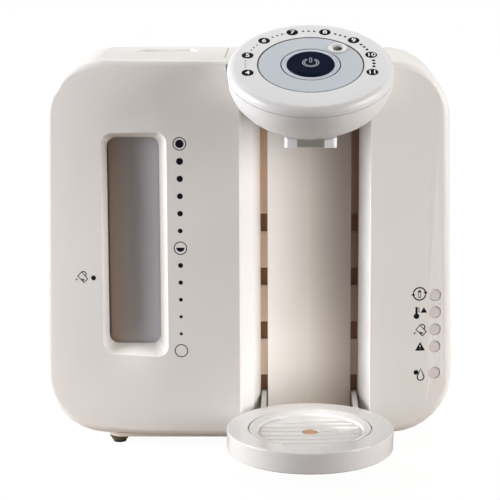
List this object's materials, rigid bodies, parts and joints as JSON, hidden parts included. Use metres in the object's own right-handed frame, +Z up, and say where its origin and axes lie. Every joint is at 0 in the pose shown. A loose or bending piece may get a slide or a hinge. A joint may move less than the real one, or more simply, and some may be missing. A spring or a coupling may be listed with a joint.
{
  "type": "baby formula maker",
  "caption": "Counter-top baby formula maker with a lift-out water tank, a tilted volume dial round a start button, and a bottle stand that sets at several heights.",
  "frame": {"origin": "on the table, under the middle of the machine's whole box, the stand and head included", "axes": "+Z is up; the machine's front, with the head and the stand, faces -Y; +X is to the right seen from the front"},
  "size_m": [0.2982, 0.212, 0.3091],
  "materials": {
    "body_white": "warm white, fine satin sheen",
    "liner_white": "warm white, satin",
    "base_beige": "beige, fine grain",
    "foot_olive": "olive beige, satin",
    "pad_rubber": "dark, matte",
    "screw_steel": "plain steel",
    "bracket_steel": "pressed sheet",
    "tank_smoke": "smoke grey, glossy, seen through the window",
    "valve_blue": "grey blue, satin",
    "head_white": "neutral white, satin gloss",
    "dial_grey": "pale blue grey, satin",
    "ring_pale": "translucent pale lavender",
    "button_navy": "navy black, smooth",
    "inner_dark": "dark grey, matte",
    "board_green": "green circuit board",
    "lens_pale": "unlit diffusing lens",
    "pipe_steel": "drawn stainless steel",
    "hose_silicone": "milky silicone",
    "stand_white": "white, glossy"
  },
  "bodies": {
    "machine": {"front_fascia": "body_white", "rear_housing": "body_white", "base_plate": "base_beige", "bay_liner": "liner_white", "head_bracket": "bracket_steel", "tank_cradle": "liner_white", "dock_seal": "pad_rubber", "foot_front_left": "foot_olive", "foot_front_right": "foot_olive", "foot_rear_left": "foot_olive", "foot_rear_right": "foot_olive", "foot_pad_front_left": "pad_rubber", "foot_pad_front_right": "pad_rubber", "foot_pad_rear_left": "pad_rubber", "foot_pad_rear_right": "pad_rubber", "base_screw_front_left": "screw_steel", "base_screw_front_right": "screw_steel", "base_screw_rear_left": "screw_steel", "base_screw_rear_right": "screw_steel", "hinge_pin": "screw_steel", "filter_chamber": "liner_white", "filter_cartridge": "liner_white", "head_bowl": "head_white", "head_cap": "head_white", "nozzle_shroud": "head_white", "hot_nozzle": "pipe_steel", "cold_nozzle": "pipe_steel", "dial_carrier": "inner_dark", "light_ring": "ring_pale", "button_switch": "inner_dark", "control_board": "board_green", "indicator_board": "board_green", "power_board": "board_green", "indicator_lens_1": "lens_pale", "indicator_lens_2": "lens_pale", "indicator_lens_3": "lens_pale", "indicator_lens_4": "lens_pale", "indicator_lens_5": "lens_pale", "boiler": "pipe_steel", "boiler_pedestal": "inner_dark", "boiler_thermostat": "liner_white", "water_pump": "inner_dark", "solenoid_valve": "inner_dark", "mains_inlet": "inner_dark", "feed_hose": "hose_silicone", "filter_hose": "hose_silicone", "valve_hose": "hose_silicone", "boiler_hose": "hose_silicone", "hot_hose": "hose_silicone", "cold_hose": "hose_silicone"},
    "dial": {"volume_dial": "dial_grey"},
    "button": {"start_button": "button_navy"},
    "stand": {"bottle_stand": "stand_white"},
    "insert": {"drip_insert": "stand_white"},
    "tank": {"water_tank": "tank_smoke", "tank_valve": "valve_blue"},
    "lid": {"tank_lid": "body_white"},
    "door": {"filter_door": "body_white"},
    "cap": {"filter_cap": "valve_blue"}
  },
  "joints": [
    {"name": "dial_turn", "type": "hinge", "parent": "machine", "child": "dial", "pos_m": [0.0449, -0.047, 0.2864], "axis": [0, -0.4242, 0.9056], "range_deg": [-59, 147.5]},
    {"name": "button_press", "type": "slide", "parent": "machine", "child": "button", "axis": [0, 0.4242, -0.9056], "range_m": [0, 0.0012], "stiffness_N_per_m": 1200, "springref_m": -0.0006},
    {"name": "stand_lift", "type": "slide", "parent": "machine", "child": "stand", "axis": [0, 0, 1], "range_m": [0, 0.1239]},
    {"name": "insert_lift", "type": "slide", "parent": "stand", "child": "insert", "axis": [0, 0, 1], "range_m": [0, 0.06]},
    {"name": "tank_lift", "type": "slide", "parent": "machine", "child": "tank", "axis": [0, 0, 1], "range_m": [0, 0.26]},
    {"name": "tank_lid_lift", "type": "slide", "parent": "tank", "child": "lid", "axis": [0, 0, 1], "range_m": [0, 0.06]},
    {"name": "filter_door_hinge", "type": "hinge", "parent": "machine", "child": "door", "pos_m": [0.072, 0.09225, 0.28325], "axis": [-1, 0, 0], "range_deg": [0, 95]},
    {"name": "filter_cap_twist", "type": "hinge", "parent": "machine", "child": "cap", "pos_m": [0.072, 0.071, 0.2635], "axis": [0, 0, 1], "range_deg": [0, 60]}
  ]
}
